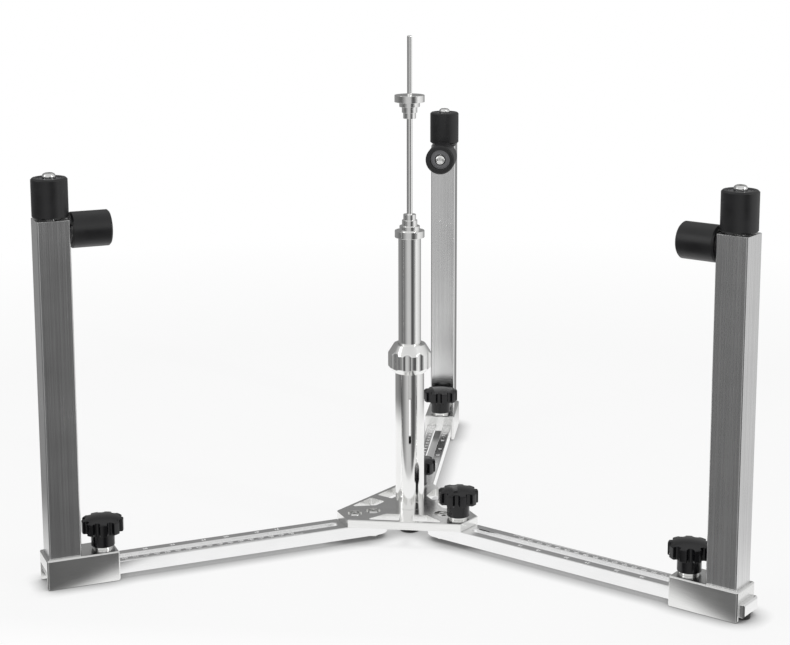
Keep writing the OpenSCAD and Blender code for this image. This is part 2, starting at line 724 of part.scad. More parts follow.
// Column
module column_tube() {
    r = tube_d / 2;
    color("gainsboro") difference() {
        rotate_extrude() polygon([
            [tube_bore, plate_top], [r, plate_top], [r, tube_top - tube_taper], [taper_r, tube_top],
            [tube_bore, tube_top]
        ]);
        rotate([0, 0, slit_turn]) translate([-slit_w / 2, -tube_d, tube_top - slit_l])
            cube([slit_w, 2 * tube_d, slit_l + overlap]);
    }
}
module column_plug() {
    color("darkgray") difference() {
        union() {
            rod(rod_d / 2, plate_top, plate_top + plug_h);
            rod(spigot_d / 2, plate_z, plate_top + overlap);
        }
        rod(column_bolt_d / 2 + run_gap, plate_z - overlap, plug_hole);
    }
}
module column_bolt() {
    color("lightgray") difference() {
        union() {
            rod(column_bolt_d / 2, bolt_head_z, plug_hole - drill_room);
            rod(column_head_d / 2, bolt_head_z, flange_z);
            rod(spigot_d / 2 + column_flange_w, flange_z, plate_z);
        }
        translate([0, 0, bolt_head_z - overlap])
            cylinder(d = socket_of(column_bolt_d), h = column_head_h - socket_floor + overlap, $fn = 6);
    }
}
module centre_foot() {
    r = centre_foot_d / 2;
    color([0.1, 0.1, 0.1]) difference() {
        rotate_extrude() polygon([
            [0, 0], [r - foot_edge, 0], [r, foot_edge], [r, flange_z], [0, flange_z]
        ]);
        rod(column_head_d / 2 + run_gap, bolt_head_z, flange_z + overlap);
    }
}
module collet_nut() {
    r = nut_d / 2;
    hole = rod_d / 2 + free_gap;
    color("gainsboro") difference() {
        rotate_extrude() polygon([
            [nut_bore, nut_base], [nut_bore + nut_lip, nut_base], [r, nut_base + nut_skirt],
            [r, nut_top - nut_bevel], [hole + nut_crown, nut_top], [hole, nut_top],
            [hole, nut_top - roof_t], [taper_r + run_gap, nut_top - roof_t],
            [taper_r + run_gap, tube_top], [nut_bore, tube_top - tube_taper]
        ]);
        for (k = [0 : nut_flutes - 1])
            rotate([0, 0, (k + 0.5) * 360 / nut_flutes]) translate([r + flute_d / 2 - flute_depth, 0, 0])
                rod(flute_d / 2, nut_base - overlap, nut_top + overlap);
    }
}
module height_rod() {
    color("gainsboro") difference() {
        rotate_extrude() polygon(disc_profile(rod_d / 2, rod_top - rod_l, rod_top, rod_edge));
        rod(axle_root + run_gap, rod_top - axle_rod_grip, rod_top + overlap);
    }
}

// Stepped disc whose narrow end is at z = 0
module stepped_cone(bore) {
    difference() {
        union() for (k = [0 : len(cone_steps) - 1])
            rod(cone_steps[k] / 2, total(cone_heights, k), cone_h);
        rod(bore, -overlap, cone_h + overlap);
    }
}
module hub_seat() {
    color("gainsboro") translate([0, 0, rod_top + cone_h]) mirror([0, 0, 1])
        stepped_cone(axle_root + run_gap);
}
module axle_rod() {
    r = axle_rod_d / 2;
    slim = r - tip_step;
    foot = rod_top - axle_rod_grip;
    tip = rod_top + axle_rod_h;
    color("gainsboro") rotate_extrude() polygon([
        [0, foot], [axle_root, foot], [axle_root, rod_top + cone_h], [r, rod_top + cone_h],
        [r, tip - tip_l], [slim, tip - tip_l], [slim, tip - rod_edge], [slim - rod_edge, tip], [0, tip]
    ]);
}
module centring_cone() {
    color("gainsboro") translate([0, 0, rod_top + cone_lift]) stepped_cone(axle_rod_d / 2 + run_gap);
}

centre_plate();
left_arm();
arm_screws();
arm_nuts();
column_tube();
column_plug();
column_bolt();
centre_foot();
left_foot();
right_arm();
right_foot();
back_arm();
back_foot();
left_slider();
left_tee_nut();
left_post();
left_post_screws();
left_axles();
left_washers();
right_slider();
right_tee_nut();
right_post();
right_post_screws();
right_axles();
right_washers();
back_slider();
back_tee_nut();
back_post();
back_post_screws();
back_axles();
back_washers();
left_edge_roller();
left_edge_bearings();
left_rest_roller();
left_rest_bearings();
right_edge_roller();
right_edge_bearings();
right_rest_roller();
right_rest_bearings();
back_edge_roller();
back_edge_bearings();
back_rest_roller();
back_rest_bearings();
left_slider_knob();
left_slider_stud();
right_slider_knob();
right_slider_stud();
back_slider_knob();
back_slider_stud();
right_lock_knob();
right_lock_stud();
back_lock_knob();
back_lock_stud();
collet_nut();
height_rod();
hub_seat();
axle_rod();
centring_cone();
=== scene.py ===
import math

import bmesh
import bpy
from mathutils import Matrix, Vector


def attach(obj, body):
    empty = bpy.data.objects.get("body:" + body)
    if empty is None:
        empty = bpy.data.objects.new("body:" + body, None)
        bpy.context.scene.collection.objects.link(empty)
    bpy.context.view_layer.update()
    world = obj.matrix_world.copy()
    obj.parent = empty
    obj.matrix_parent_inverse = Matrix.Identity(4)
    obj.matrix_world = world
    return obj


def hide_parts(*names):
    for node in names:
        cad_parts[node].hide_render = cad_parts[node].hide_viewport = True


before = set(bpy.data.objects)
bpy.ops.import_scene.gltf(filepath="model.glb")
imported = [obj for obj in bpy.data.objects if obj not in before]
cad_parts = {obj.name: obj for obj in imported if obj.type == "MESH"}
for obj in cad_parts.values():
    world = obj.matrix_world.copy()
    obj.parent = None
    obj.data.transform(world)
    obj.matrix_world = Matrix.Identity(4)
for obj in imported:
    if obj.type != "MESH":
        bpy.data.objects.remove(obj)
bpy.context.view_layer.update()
scene = bpy.context.scene
scene.view_settings.view_transform = "Standard"
mm = 0.001
tiny = 1e-6
weldGap = 2e-6
plainWhite = (1, 1, 1, 1)
armAngles = {"left": 210.0, "right": 330.0, "back": 90.0}
armTop = 17.0


# small helpers that every piece uses

def nodeAdder(tree):
    def add(kind, inputs=None, **values):
        node = tree.nodes.new(kind)
        for key, value in values.items():
            setattr(node, key, value)
        for key, value in (inputs or {}).items():
            if isinstance(value, bpy.types.NodeSocket):
                tree.links.new(value, node.inputs[key])
            else:
                node.inputs[key].default_value = value
        return node
    return add


def greyRamp(add, value, levels):
    ramp = add("ShaderNodeValToRGB", {"Fac": value})
    stops = ramp.color_ramp.elements
    while len(stops) < len(levels):
        stops.new(0.5)
    for stop, (place, level) in zip(stops, levels):
        stop.position = place
        stop.color = (level, level, level, 1)
    return ramp.outputs["Color"]


def mathAdder(add):
    def work(operation, *terms):
        return add("ShaderNodeMath", dict(enumerate(terms)), operation=operation).outputs["Value"]
    return work


def spanAdder(add):  # carries a value from one span to another and stops at the ends
    def span(value, ends=(0.0, 1.0), to=(0.0, 1.0)):
        return add("ShaderNodeMapRange", {"Value": value, "From Min": ends[0], "From Max": ends[1],
                                          "To Min": to[0], "To Max": to[1]}).outputs["Result"]
    return span


def newFinish(name):
    finish = bpy.data.materials.new(name)
    finish.use_nodes = True
    finish.node_tree.nodes.clear()
    return finish, nodeAdder(finish.node_tree)


def startTree(name, sockets):
    tree = bpy.data.node_groups.new(name, "GeometryNodeTree")
    for socket, kind in [("Geometry", "Geometry")] + sockets + [("Finish", "Material")]:
        tree.interface.new_socket(socket, in_out="INPUT", socket_type="NodeSocket" + kind)
    tree.interface.new_socket("Geometry", in_out="OUTPUT", socket_type="NodeSocketGeometry")
    add = nodeAdder(tree)
    return tree, add, add("NodeGroupInput").outputs


def endTree(add, given, geometry):
    real = add("GeometryNodeRealizeInstances", {"Geometry": geometry})
    done = add("GeometryNodeSetMaterial", {"Geometry": real.outputs["Geometry"], "Material": given["Finish"]})
    add("NodeGroupOutput", {"Geometry": done.outputs["Geometry"]})


def evaluated(data, prepare=None):  # the plain mesh that a curve or a mesh with modifiers leaves
    carrier = bpy.data.objects.new("carrier", data)
    scene.collection.objects.link(carrier)
    if prepare:
        prepare(carrier)
    graph = bpy.context.evaluated_depsgraph_get()
    done = bpy.data.meshes.new_from_object(
        carrier.evaluated_get(graph), preserve_all_data_layers=True, depsgraph=graph)
    bpy.data.objects.remove(carrier)
    return done


def settled(mesh, modifiers):
    def prepare(carrier):
        for kind, values in modifiers:
            modifier = carrier.modifiers.new(kind.lower(), kind)
            for key, value in values.items():
                setattr(modifier, key, value)
    return evaluated(mesh, prepare)


def grown(tree, mesh, values):  # the plain mesh that a node tree makes
    def prepare(carrier):
        modifier = carrier.modifiers.new("shape", "NODES")
        modifier.node_group = tree
        for item in tree.interface.items_tree:
            if item.item_type == "SOCKET" and item.in_out == "INPUT" and item.name in values:
                modifier[item.identifier] = values[item.name]
    return evaluated(mesh, prepare)


def softShade(mesh, sharpAngle=32.0):  # smooth faces, with flats kept flat
    mesh.shade_smooth()
    mesh.set_sharp_from_angle(angle=math.radians(sharpAngle))
    return settled(mesh, [("WEIGHTED_NORMAL", {"keep_sharp": True})])


def addPiece(name, mesh, body, finish, slotName, *stoodFor):
    mesh.name = name
    mesh.materials.clear()
    mesh.materials.append(finish)
    piece = bpy.data.objects.new(name, mesh)
    scene.collection.objects.link(piece)
    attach(piece, body)
    if stoodFor:
        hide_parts(*stoodFor)
    return piece


bevelSettings = {"flatAngle": 0.4, "hardAngle": 28.0, "segments": 3}


def bevelledCopy(node, width, lift=0.0):  # a CAD solid with its hard edges broken
    s = bevelSettings
    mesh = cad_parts[node].data.copy()
    build = bmesh.new()
    build.from_mesh(mesh)
    bmesh.ops.remove_doubles(build, verts=build.verts, dist=weldGap)
    bmesh.ops.dissolve_limit(build, angle_limit=math.radians(s["flatAngle"]), verts=build.verts, edges=build.edges)
    for vert in build.verts:
        if abs(vert.co.z - armTop * mm) < tiny:  # what runs over an arm clears the paint on it
            vert.co.z += lift * mm
    for face in build.faces:
        face.smooth = True
    build.to_mesh(mesh)
    build.free()
    return settled(mesh, [
        ("BEVEL", {"width": width * mm, "segments": s["segments"], "limit_method": "ANGLE",
                   "angle_limit": math.radians(s["hardAngle"]), "miter_outer": "MITER_ARC"}),
        ("WEIGHTED_NORMAL", {"keep_sharp": False}),
    ])


easeSettings = {"straight": 172.0, "sideShare": 0.48}


def eased(points, radius, steps=3):  # rounds the inner corners of a half outline in mm; a third value is a radius
    out = [points[0][:2]]
    for before, here, after in zip(points, points[1:], points[2:]):
        r = here[2] if len(here) > 2 else radius
        p = Vector(here[:2])
        a, b = Vector(before[:2]) - p, Vector(after[:2]) - p
        turn = a.angle(b, math.pi)
        if r <= 0 or turn > math.radians(easeSettings["straight"]):
            out.append(tuple(p))
            continue
        reach = min(r / math.tan(turn / 2), easeSettings["sideShare"] * min(a.length, b.length))
        start, end = p + a.normalized() * reach, p + b.normalized() * reach
        for k in range(steps + 1):
            t = k / steps
            out.append(tuple(start * (1 - t) ** 2 + p * (2 * t * (1 - t)) + end * t ** 2))
    out.append(points[-1][:2])
    return out


def hexReach(angle):
    step = math.pi / 3
    return math.cos(step / 2) / math.cos(angle % step - step / 2)


def turned(profile, sides=96, hexFrom=None):  # half outline in mm, from the foot up; six-sided from one point on
    build = bmesh.new()
    rings = []
    for k, (r, z) in enumerate(profile):
        if r < tiny:
            rings.append([build.verts.new((0, 0, z * mm))])
            continue
        shaped = hexFrom is not None and k >= hexFrom
        rings.append([])
        for i in range(sides):
            a = 2 * math.pi * i / sides
            reach = r * mm * (hexReach(a) if shaped else 1)
            rings[-1].append(build.verts.new((reach * math.cos(a), reach * math.sin(a), z * mm)))
    pairs = list(zip(rings, rings[1:]))
    if len(rings[0]) > 1:
        pairs.append((rings[-1], rings[0]))
    for low, high in pairs:
        for i in range(sides):
            n = (i + 1) % sides
            corners = [low[i % len(low)], low[n % len(low)], high[n % len(high)], high[i % len(high)]]
            corners = list(dict.fromkeys(corners))
            if len(corners) > 2:
                build.faces.new(corners)
    mesh = bpy.data.meshes.new("turned")
    build.to_mesh(mesh)
    build.free()
    return mesh


def joined(meshes):
    build = bmesh.new()
    for mesh in meshes:
        build.from_mesh(mesh)
    done = bpy.data.meshes.new("joined")
    build.to_mesh(done)
    build.free()
    return done


def moved(mesh, matrix):
    copy = mesh.copy()
    copy.transform(matrix)
    return copy


def toward(angle):
    return Matrix.Rotation(math.radians(angle), 4, "Z")


def lifted(x, z, y=0.0):
    return Matrix.Translation((x * mm, y * mm, z * mm))


# camera, floor and light

cameraSettings = {
    "place": (0.18880, -1.61988, 0.60489), "tilt": 79.921, "turn": 7.133, "roll": -0.122,
    "lens": 79.893, "sensor": 36.0, "shiftDown": 0.1399, "near": 0.05,
}


def makeCamera(s):
    data = bpy.data.cameras.new("standCamera")
    data.sensor_width = s["sensor"]
    data.sensor_fit = "HORIZONTAL"
    data.lens = s["lens"]
    data.shift_y = -s["shiftDown"]
    data.clip_start = s["near"]
    camera = bpy.data.objects.new("standCamera", data)
    tilt = Matrix.Rotation(math.radians(s["tilt"]), 4, "X")
    camera.matrix_world = Matrix.Translation(s["place"]) @ toward(s["turn"]) @ tilt @ toward(s["roll"])
    scene.collection.objects.link(camera)
    scene.camera = camera


makeCamera(cameraSettings)
print("camera set")

# the floor is white to the eye; its lit share keeps the stand's real shadow, and its glow is darkened near the stand
# by a painted shadow from ambient occlusion; metal mirrors it only as far as its edges

benchSettings = {
    "front": -0.34, "back": 2.2, "half": 2.4, "tone": (0.92, 0.92, 0.92, 1), "roughness": (0.50, 0.60),
    "cloudScale": 9.0, "sheen": 0.3, "glow": 0.80,
    "shadowReach": 0.018, "shadowDepth": 0.05, "shadowFrom": 0.22, "shadowSamples": 16,
    "seenFront": (-0.25, -0.33), "seenFar": (0.75, 1.5),
    "mirrorFront": [(-0.200, 1.0), (-0.191, 0.85), (-0.182, 0.40), (-0.172, 0.0)],
    "mirrorSkew": 0.012, "mirrorFar": (0.36, 0.47),
}


def makeBench(s):
    mesh = bpy.data.meshes.new("benchTop")
    corners = [(-s["half"], s["front"], 0), (s["half"], s["front"], 0),
               (s["half"], s["back"], 0), (-s["half"], s["back"], 0)]
    mesh.from_pydata(corners, [], [(0, 1, 2, 3)])
    bench = bpy.data.objects.new("benchTop", mesh)
    scene.collection.objects.link(bench)
    finish, add = newFinish("benchWhitePaintedShadow")
    work, span = mathAdder(add), spanAdder(add)
    spot = add("ShaderNodeTexCoord").outputs["Object"]
    place = add("ShaderNodeSeparateXYZ", {"Vector": spot}).outputs
    across = place["Y"]
    askew = work("MULTIPLY_ADD", place["X"], s["mirrorSkew"], across)
    far = add("ShaderNodeVectorMath", {0: spot}, operation="LENGTH").outputs["Value"]
    path = add("ShaderNodeLightPath").outputs
    seen = path["Is Camera Ray"]
    mirrored = work("MAXIMUM", path["Is Glossy Ray"], path["Is Transmission Ray"])
    first, last = s["mirrorFront"][0][0], s["mirrorFront"][-1][0]
    front = greyRamp(add, span(askew, (first, last)),
                     [((y - first) / (last - first), level) for y, level in s["mirrorFront"]])
    seenEdge = work("MAXIMUM", span(across, s["seenFront"]), span(far, s["seenFar"]))
    mirrorEdge = work("MAXIMUM", front, span(far, s["mirrorFar"]))
    edge = work("ADD", work("MULTIPLY", seenEdge, seen), work("MULTIPLY", mirrorEdge, mirrored))
    glow = work("ADD", work("MULTIPLY", seen, s["glow"]), mirrored)
    # painted shadow: ambient occlusion darkens the floor's glow near the stand, for camera rays only
    paintedShadowOcclusion = add("ShaderNodeAmbientOcclusion", {"Distance": s["shadowReach"]}, samples=s["shadowSamples"])
    shade = span(paintedShadowOcclusion.outputs["AO"], (s["shadowFrom"], 1.0), (s["shadowDepth"], 1.0))
    cloud = add("ShaderNodeTexNoise", {"Vector": spot, "Scale": s["cloudScale"]})
    surface = add("ShaderNodeBsdfPrincipled", {"Base Color": s["tone"], "Specular IOR Level": s["sheen"],
                                               "Roughness": span(cloud.outputs["Fac"], to=s["roughness"])})
    white = add("ShaderNodeEmission", {"Color": plainWhite, "Strength": 1.0})
    shaded = add("ShaderNodeEmission", {"Color": plainWhite, "Strength": work("MAXIMUM", shade, mirrored)})
    clear = add("ShaderNodeBsdfTransparent")
    inner = add("ShaderNodeMixShader", {0: glow, 1: surface.outputs["BSDF"], 2: shaded.outputs["Emission"]})
    outer = add("ShaderNodeMixShader", {0: seen, 1: clear.outputs["BSDF"], 2: white.outputs["Emission"]})
    mixed = add("ShaderNodeMixShader", {0: edge, 1: inner.outputs["Shader"], 2: outer.outputs["Shader"]})
    add("ShaderNodeOutputMaterial", {"Surface": mixed.outputs["Shader"]})
    mesh.materials.append(finish)


makeBench(benchSettings)

# what the metal mirrors round the stand: degrees and brightness, below and above the horizon

roomSettings = {
    "low": [(0, 0.90), (34, 0.70), (60, 0.36), (97, 0.22), (135, 0.30), (172, 0.25), (200, 0.15), (218, 0.15),
            (240, 0.40), (256, 0.60), (284, 0.60), (297, 0.10), (314, 0.09), (330, 0.45), (345, 0.95), (360, 0.90)],
    "high": [(0, 0.90), (34, 0.70), (60, 0.36), (97, 0.26), (135, 0.27), (172, 0.30), (196, 0.75), (220, 0.95),
             (300, 0.95), (330, 0.90), (360, 0.90)],
    "horizon": (0.03, 0.13), "above": (0.72, 0.72, 0.72, 1), "aboveFrom": (0.50, 0.80), "fill": 0.62,
}


def makeRoom(s):
    world = bpy.data.worlds.new("studioRoom")
    scene.world = world
    world.use_nodes = True
    tree = world.node_tree
    tree.nodes.clear()
    add = nodeAdder(tree)
    work, span = mathAdder(add), spanAdder(add)
    coord = add("ShaderNodeTexCoord")
    parts = add("ShaderNodeSeparateXYZ", {"Vector": coord.outputs["Generated"]}).outputs
    turn = 2 * math.pi
    share = work("DIVIDE", work("WRAP", work("ARCTAN2", parts["Y"], parts["X"]), turn, 0.0), turn)
    low, high = (greyRamp(add, share, [(degrees / 360, level) for degrees, level in s[name]])
                 for name in ("low", "high"))
    sides = add("ShaderNodeMix", {0: span(parts["Z"], s["horizon"]), 6: low, 7: high}, data_type="RGBA")
    mirrored = add("ShaderNodeMix", {0: span(parts["Z"], s["aboveFrom"]), 6: sides.outputs[2], 7: s["above"]},
                   data_type="RGBA")
    path = add("ShaderNodeLightPath").outputs
    shiny = work("MAXIMUM", path["Is Glossy Ray"], path["Is Transmission Ray"])
    fill = add("ShaderNodeBackground", {"Color": plainWhite, "Strength": s["fill"]})
    room = add("ShaderNodeBackground", {"Color": mirrored.outputs[2], "Strength": 1.0})
    white = add("ShaderNodeBackground", {"Color": plainWhite, "Strength": 1.0})
    lit = add("ShaderNodeMixShader", {0: shiny, 1: fill.outputs["Background"], 2: room.outputs["Background"]})
    final = add("ShaderNodeMixShader", {0: path["Is Camera Ray"], 1: lit.outputs["Shader"],
                                        2: white.outputs["Background"]})
    add("ShaderNodeOutputWorld", {"Surface": final.outputs["Shader"]})


makeRoom(roomSettings)

lampSettings = [
    {"name": "overheadSoftbox", "place": (-0.25, 0.35, 1.9), "aim": (0, 0, 0.1), "size": (2.2, 1.8),
     "power": 8.0, "mirrored": False},
    {"name": "leftSoftbox", "place": (-1.7, -0.9, 1.1), "aim": (0, 0, 0.15), "size": (0.5, 1.2),
     "power": 3.0, "mirrored": True},
    {"name": "rightStrip", "place": (1.5, -0.75, 0.95), "aim": (0, 0, 0.1), "size": (0.06, 0.9),
     "power": 4.0, "mirrored": True},
]


def makeLamp(s):
    data = bpy.data.lights.new(s["name"], "AREA")
    data.shape = "RECTANGLE"
    data.size, data.size_y = s["size"]
    data.energy = s["power"]
    lamp = bpy.data.objects.new(s["name"], data)
    lamp.visible_glossy = s["mirrored"]
    lamp.location = s["place"]
    lamp.rotation_mode = "QUATERNION"
    lamp.rotation_quaternion = (Vector(s["aim"]) - Vector(s["place"])).to_track_quat("-Z", "Y")
    scene.collection.objects.link(lamp)


for lamp in lampSettings:
    makeLamp(lamp)
print("floor, room and lamps set")


# finishes: grain lines and clouds vary tone and roughness, and the grain is a fine bump

metalWear = {
    "lineDetail": 5.0, "lineRough": 0.6, "cloudDetail": 4.0, "cloudRough": 0.55, "noise": (0.3, 0.7),
    "lineShare": 0.35, "cloudShare": 0.65, "least": 0.175, "span": (0.4, 0.95), "bump": 0.6,
}
plasticWear = {"grainDetail": 3.0, "cloudScale": 60.0, "cloudDetail": 4.0, "noise": (0.3, 0.7), "tones": (0.8, 1.25),
               "bump": 0.5}


def metalFinish(name, tone, rough, grain, depth, grainShare, turn=0.0, cloudScale=22.0, cloudShare=0.06):
    wear = metalWear
    finish, add = newFinish(name)
    work, span = mathAdder(add), spanAdder(add)
    spot = add("ShaderNodeTexCoord").outputs["Object"]
    laid = add("ShaderNodeMapping", {"Vector": spot, "Rotation": (0, 0, math.radians(turn)),
                                     "Scale": tuple(v * mm for v in grain)}, vector_type="TEXTURE")
    lines = add("ShaderNodeTexNoise", {"Vector": laid.outputs["Vector"], "Scale": 1.0, "Detail": wear["lineDetail"],
                                       "Roughness": wear["lineRough"]}).outputs["Fac"]
    cloud = add("ShaderNodeTexNoise", {"Vector": spot, "Scale": cloudScale, "Detail": wear["cloudDetail"],
                                       "Roughness": wear["cloudRough"]}).outputs["Fac"]
    shade = work("MULTIPLY", span(lines, wear["noise"], (1.0 - grainShare, 1.0)),
                 span(cloud, wear["noise"], (1.0 - cloudShare, 1.0)))
    colour = add("ShaderNodeVectorMath", {0: tone, "Scale": shade}, operation="SCALE")
    worn = work("MULTIPLY_ADD", cloud, wear["cloudShare"], wear["least"])
    worn = work("MULTIPLY_ADD", lines, wear["lineShare"], worn)
    bump = add("ShaderNodeBump", {"Height": lines, "Strength": wear["bump"], "Distance": depth * mm})
    surface = add("ShaderNodeBsdfPrincipled", {"Base Color": colour.outputs["Vector"], "Metallic": 1.0,
                                               "Roughness": span(worn, wear["span"], rough),
                                               "Normal": bump.outputs["Normal"]})
    add("ShaderNodeOutputMaterial", {"Surface": surface.outputs["BSDF"]})
    return finish


def plasticFinish(name, tone, rough, grainScale, depth, sheen):
    wear = plasticWear
    finish, add = newFinish(name)
    span = spanAdder(add)
    spot = add("ShaderNodeTexCoord").outputs["Object"]
    grain = add("ShaderNodeTexNoise", {"Vector": spot, "Scale": grainScale, "Detail": wear["grainDetail"]})
    cloud = add("ShaderNodeTexNoise", {"Vector": spot, "Scale": wear["cloudScale"],
                                       "Detail": wear["cloudDetail"]}).outputs["Fac"]
    colour = add("ShaderNodeVectorMath", {0: tone, "Scale": span(cloud, wear["noise"], wear["tones"])},
                 operation="SCALE")
    bump = add("ShaderNodeBump", {"Height": grain.outputs["Fac"], "Strength": wear["bump"], "Distance": depth * mm})
    surface = add("ShaderNodeBsdfPrincipled", {"Base Color": colour.outputs["Vector"],
                                               "Roughness": span(cloud, wear["noise"], rough),
                                               "Specular IOR Level": sheen, "Normal": bump.outputs["Normal"]})
    add("ShaderNodeOutputMaterial", {"Surface": surface.outputs["BSDF"]})
    return finish


plateMetal = metalFinish("milledPlate", tone=(0.91, 0.91, 0.90), rough=(0.16, 0.26), grain=(30.0, 0.5, 0.5),
                         depth=0.004, grainShare=0.10)
armMetal = {side: metalFinish("satinArm." + side, tone=(0.95, 0.95, 0.95), rough=(0.14, 0.24),
                              grain=(40.0, 0.25, 0.25), depth=0.005, grainShare=0.06, turn=angle)
            for side, angle in armAngles.items()}
sliderMetal = {side: metalFinish("milledSlider." + side, tone=(0.90, 0.90, 0.89), rough=(0.19, 0.29),
                                 grain=(25.0, 0.3, 0.3), depth=0.006, grainShare=0.14, turn=angle)
               for side, angle in armAngles.items()}
postRough = {"left": (0.22, 0.32), "right": (0.22, 0.32), "back": (0.16, 0.25)}
postMetal = {side: metalFinish("drawnPost." + side, tone=(0.88, 0.88, 0.88), rough=postRough[side],
                               grain=(0.7, 0.7, 220.0), depth=0.012, grainShare=0.24, turn=angle,
                               cloudScale=9.0, cloudShare=0.12)
             for side, angle in armAngles.items()}
columnMetal = metalFinish("polishedColumn", tone=(0.92, 0.92, 0.91), rough=(0.06, 0.14), grain=(400.0, 400.0, 0.35),
                          depth=0.002, grainShare=0.05)
turnedMetal = metalFinish("turnedBright", tone=(0.92, 0.92, 0.91), rough=(0.10, 0.18), grain=(400.0, 400.0, 0.22),
                          depth=0.002, grainShare=0.06)
steelMetal = metalFinish("brightSteel", tone=(0.84, 0.84, 0.83), rough=(0.10, 0.20), grain=(3.0, 3.0, 3.0),
                         depth=0.002, grainShare=0.10)
# painted shade: the bearings' steel tone is darkened to stand in for the shade in the rollers' recesses
paintedShadeBearingMetal = metalFinish("bearingSteelPaintedShade", tone=(0.24, 0.24, 0.25), rough=(0.24, 0.36), grain=(2.0, 2.0, 2.0),
                           depth=0.003, grainShare=0.14)
rollerBlack = plasticFinish("rollerBlack", tone=(0.012, 0.012, 0.013), rough=(0.30, 0.42), grainScale=2600.0,
                            depth=0.02, sheen=0.45)
knobBlack = plasticFinish("knobBlack", tone=(0.006, 0.006, 0.007), rough=(0.10, 0.18), grainScale=1500.0,
                          depth=0.008, sheen=0.40)
footRubber = plasticFinish("footRubber", tone=(0.016, 0.016, 0.016), rough=(0.55, 0.75), grainScale=3200.0,
                           depth=0.03, sheen=0.35)
markPaint = plasticFinish("markPaint", tone=(0.92, 0.92, 0.92), rough=(0.45, 0.60), grainScale=2000.0,
                          depth=0.005, sheen=0.4)
print("finishes made")

# bars, plate, sliders and posts: CAD shapes with their edges broken

barSettings = {"plate": 0.30, "arm": 0.22, "slider": 0.30, "post": 0.35, "tube": 0.20, "nut": 0.30, "lift": 0.03}
addPiece("centrePlate", bevelledCopy("centre_plate", barSettings["plate"], lift=barSettings["lift"]), "base",
         plateMetal, "milled_aluminium", "centre_plate")
armBodies = {"left": "base", "right": "right_arm", "back": "back_arm"}
for side in armAngles:
    addPiece(side + "ArmBar", bevelledCopy(side + "_arm", barSettings["arm"]), armBodies[side], armMetal[side],
             "arm_aluminium", side + "_arm")
    addPiece(side + "SliderBlock", bevelledCopy(side + "_slider", barSettings["slider"], lift=barSettings["lift"]),
             side + "_slider", sliderMetal[side], "milled_aluminium", side + "_slider")
    addPiece(side + "PostBar", bevelledCopy(side + "_post", barSettings["post"]), side + "_slider",
             postMetal[side], "extruded_aluminium", side + "_post")
addPiece("columnTube", bevelledCopy("column_tube", barSettings["tube"]), "base", columnMetal,
         "polished_aluminium", "column_tube")
addPiece("armNuts", bevelledCopy("arm_nuts", barSettings["nut"]), "base", steelMetal, "bright_steel", "arm_nuts")
print("bars, plate, sliders and posts made")

# scale on each arm: ticks by a node tree, numbers as plain figures

scaleSettings = {
    "start": 115.0, "step": 1.0, "count": 171, "edge": 12.4, "short": 1.8, "middle": 2.6, "long": 3.4,
    "width": 0.42, "height": 0.024, "top": armTop, "figureSize": 3.8, "figureStep": 10, "figureY": 7.0, "bold": 0.10,
    "sizeMarks": [(134, "16"), (154, "18"), (184, "20"), (206, "24"), (236, "26"), (262, "28")],
    "sizeFigure": 4.6, "sizeY": -8.9, "figureCurve": 3,
}


def tickTree():
    numbers = ("Edge", "Short", "Middle", "Long", "Width", "Height", "Top")
    tree, add, given = startTree("scaleTicks", [("Start", "Float"), ("Step", "Float"), ("Count", "Int")]
                                 + [(name, "Float") for name in numbers])

    def every(n, index):
        rest = add("ShaderNodeMath", {0: index, 1: float(n)}, operation="FLOORED_MODULO")
        return add("FunctionNodeCompare", {"A": rest.outputs["Value"], "B": 0.5}, operation="LESS_THAN",
                   data_type="FLOAT").outputs["Result"]

    index = add("GeometryNodeInputIndex").outputs["Index"]
    first = add("ShaderNodeCombineXYZ", {"X": given["Start"], "Z": given["Top"]})
    pitch = add("ShaderNodeCombineXYZ", {"X": given["Step"]})
    row = add("GeometryNodeMeshLine", {"Count": given["Count"], "Start Location": first.outputs["Vector"],
                                       "Offset": pitch.outputs["Vector"]})
    fives = add("GeometryNodeSwitch", {"Switch": every(5, index), "False": given["Short"], "True": given["Middle"]},
                input_type="FLOAT")
    tens = add("GeometryNodeSwitch", {"Switch": every(10, index), "False": fives.outputs["Output"],
                                      "True": given["Long"]}, input_type="FLOAT")
    half = add("ShaderNodeMath", {0: tens.outputs["Output"], 1: 0.5}, operation="MULTIPLY")
    inward = add("ShaderNodeMath", {0: given["Edge"], 1: half.outputs["Value"]}, operation="SUBTRACT")
    shift = add("ShaderNodeCombineXYZ", {"Y": inward.outputs["Value"]})
    placed = add("GeometryNodeSetPosition", {"Geometry": row.outputs["Mesh"], "Offset": shift.outputs["Vector"]})
    size = add("ShaderNodeCombineXYZ", {"X": given["Width"], "Y": 1.0, "Z": given["Height"]})
    tick = add("GeometryNodeMeshCube", {"Size": size.outputs["Vector"]})
    stretch = add("ShaderNodeCombineXYZ", {"X": 1.0, "Y": tens.outputs["Output"], "Z": 1.0})
    spread = add("GeometryNodeInstanceOnPoints", {"Points": placed.outputs["Geometry"],
                                                  "Instance": tick.outputs["Mesh"],
                                                  "Scale": stretch.outputs["Vector"]})
    endTree(add, given, spread.outputs["Instances"])
    return tree


def figure(text, size, x, y, s):  # one flat number, read from the arm's scale side
    curve = bpy.data.curves.new("figure", "FONT")
    curve.body = text
    curve.size = size * mm
    curve.extrude = s["height"] / 2 * mm
    curve.offset = s["bold"] * mm
    curve.align_x = "CENTER"
    curve.align_y = "CENTER"
    curve.resolution_u = s["figureCurve"]
    mesh = evaluated(curve)
    mesh.transform(lifted(x, s["top"], y) @ toward(180))
    return mesh


